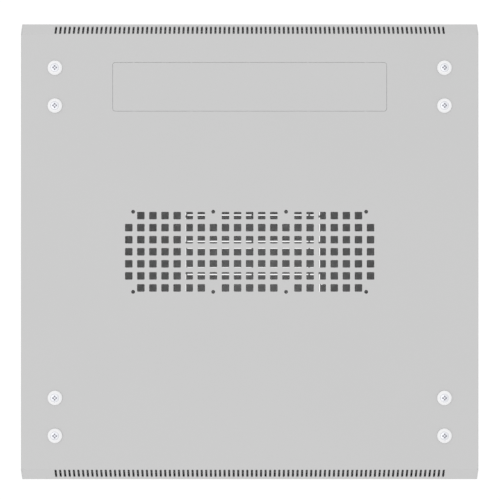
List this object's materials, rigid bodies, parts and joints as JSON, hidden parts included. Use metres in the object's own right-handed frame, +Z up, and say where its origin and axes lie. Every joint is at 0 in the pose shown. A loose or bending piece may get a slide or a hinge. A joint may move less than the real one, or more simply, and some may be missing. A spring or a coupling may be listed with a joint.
{
  "type": "network server rack cabinet",
  "caption": "Free-standing grey steel rack cabinet with a vented roof, glazed front door, steel rear door, lift-off side panels, quarter-turn locks and levelling feet.",
  "frame": {"origin": "on the floor under the middle of the cabinet, at the bottom centre of its bounding box", "axes": "+Z up, +X to the right seen from the front, the front door faces -Y"},
  "size_m": [0.604, 0.602, 2.0045],
  "materials": {
    "grey_paint": "light grey powder coat, fine even texture, satin",
    "zinc_plate": "zinc plated sheet steel",
    "door_glass": "clear tempered glass with a dark printed edge",
    "white_nylon": "moulded white nylon",
    "bright_steel": "bright plated steel",
    "lock_chrome": "polished chrome on zinc",
    "foot_plastic": "black moulded foot",
    "brass": "plain brass"
  },
  "bodies": {
    "cabinet": {"base_panel": "grey_paint", "brace_middle_left": "zinc_plate", "brace_middle_right": "zinc_plate", "brace_upper_left": "zinc_plate", "brace_upper_right": "zinc_plate", "earth_stud": "brass", "hinge_bracket_front_lower": "zinc_plate", "hinge_bracket_front_upper": "zinc_plate", "hinge_bracket_rear_lower": "zinc_plate", "hinge_bracket_rear_upper": "zinc_plate", "post_front_left": "zinc_plate", "post_front_right": "zinc_plate", "post_rear_left": "zinc_plate", "post_rear_right": "zinc_plate", "rack_rail_front_left": "zinc_plate", "rack_rail_front_right": "zinc_plate", "rack_rail_rear_left": "zinc_plate", "rack_rail_rear_right": "zinc_plate", "roof_panel": "grey_paint", "roof_screw_1": "bright_steel", "roof_screw_2": "bright_steel", "roof_screw_3": "bright_steel", "roof_screw_4": "bright_steel", "roof_screw_5": "bright_steel", "roof_screw_6": "bright_steel", "roof_screw_7": "bright_steel", "roof_screw_8": "bright_steel", "roof_washer_1": "white_nylon", "roof_washer_2": "white_nylon", "roof_washer_3": "white_nylon", "roof_washer_4": "white_nylon", "roof_washer_5": "white_nylon", "roof_washer_6": "white_nylon", "roof_washer_7": "white_nylon", "roof_washer_8": "white_nylon"},
    "front_door": {"front_door_frame": "grey_paint", "front_door_glass": "door_glass", "front_lock_case": "lock_chrome"},
    "front_lock": {"front_lock_plug": "lock_chrome", "front_lock_cam": "zinc_plate"},
    "rear_door": {"rear_door_panel": "grey_paint", "rear_door_stiffener": "grey_paint", "rear_lock_case": "lock_chrome"},
    "rear_lock": {"rear_lock_plug": "lock_chrome", "rear_lock_cam": "zinc_plate"},
    "left_panel": {"side_panel_left": "grey_paint", "side_lock_left_case": "lock_chrome"},
    "left_lock": {"side_lock_left_plug": "lock_chrome", "side_lock_left_cam": "zinc_plate"},
    "right_panel": {"side_panel_right": "grey_paint", "side_lock_right_case": "lock_chrome"},
    "right_lock": {"side_lock_right_plug": "lock_chrome", "side_lock_right_cam": "zinc_plate"},
    "levelling_foot_front_left": {"foot_front_left": "foot_plastic"},
    "levelling_foot_front_right": {"foot_front_right": "foot_plastic"},
    "levelling_foot_rear_left": {"foot_rear_left": "foot_plastic"},
    "levelling_foot_rear_right": {"foot_rear_right": "foot_plastic"}
  },
  "joints": [
    {"name": "front_door_swing", "type": "hinge", "parent": "cabinet", "child": "front_door", "pos_m": [0.2885, -0.291, 0.0815], "axis": [0, 0, 1], "range_deg": [0, 130]},
    {"name": "front_lock_turn", "type": "hinge", "parent": "front_door", "child": "front_lock", "pos_m": [-0.2665, -0.299, 1.015], "axis": [0, -1, 0], "range_deg": [0, 90]},
    {"name": "rear_door_swing", "type": "hinge", "parent": "cabinet", "child": "rear_door", "pos_m": [-0.2885, 0.291, 0.0815], "axis": [0, 0, 1], "range_deg": [0, 130]},
    {"name": "rear_lock_turn", "type": "hinge", "parent": "rear_door", "child": "rear_lock", "pos_m": [0.2665, 0.299, 1.015], "axis": [0, 1, 0], "range_deg": [0, 90]},
    {"name": "left_panel_tilt", "type": "hinge", "parent": "cabinet", "child": "left_panel", "pos_m": [-0.3, 0, 0.0815], "axis": [0, -1, 0], "range_deg": [0, 12]},
    {"name": "left_lock_turn", "type": "hinge", "parent": "left_panel", "child": "left_lock", "pos_m": [-0.3, 0, 1.9], "axis": [-1, 0, 0], "range_deg": [0, 90]},
    {"name": "right_panel_tilt", "type": "hinge", "parent": "cabinet", "child": "right_panel", "pos_m": [0.3, 0, 0.0815], "axis": [0, 1, 0], "range_deg": [0, 12]},
    {"name": "right_lock_turn", "type": "hinge", "parent": "right_panel", "child": "right_lock", "pos_m": [0.3, 0, 1.9], "axis": [1, 0, 0], "range_deg": [0, 90]},
    {"name": "foot_front_left_screw", "type": "slide", "parent": "cabinet", "child": "levelling_foot_front_left", "axis": [0, 0, -1], "range_m": [0, 0.015]},
    {"name": "foot_front_right_screw", "type": "slide", "parent": "cabinet", "child": "levelling_foot_front_right", "axis": [0, 0, -1], "range_m": [0, 0.015]},
    {"name": "foot_rear_left_screw", "type": "slide", "parent": "cabinet", "child": "levelling_foot_rear_left", "axis": [0, 0, -1], "range_m": [0, 0.015]},
    {"name": "foot_rear_right_screw", "type": "slide", "parent": "cabinet", "child": "levelling_foot_rear_right", "axis": [0, 0, -1], "range_m": [0, 0.015]}
  ]
}
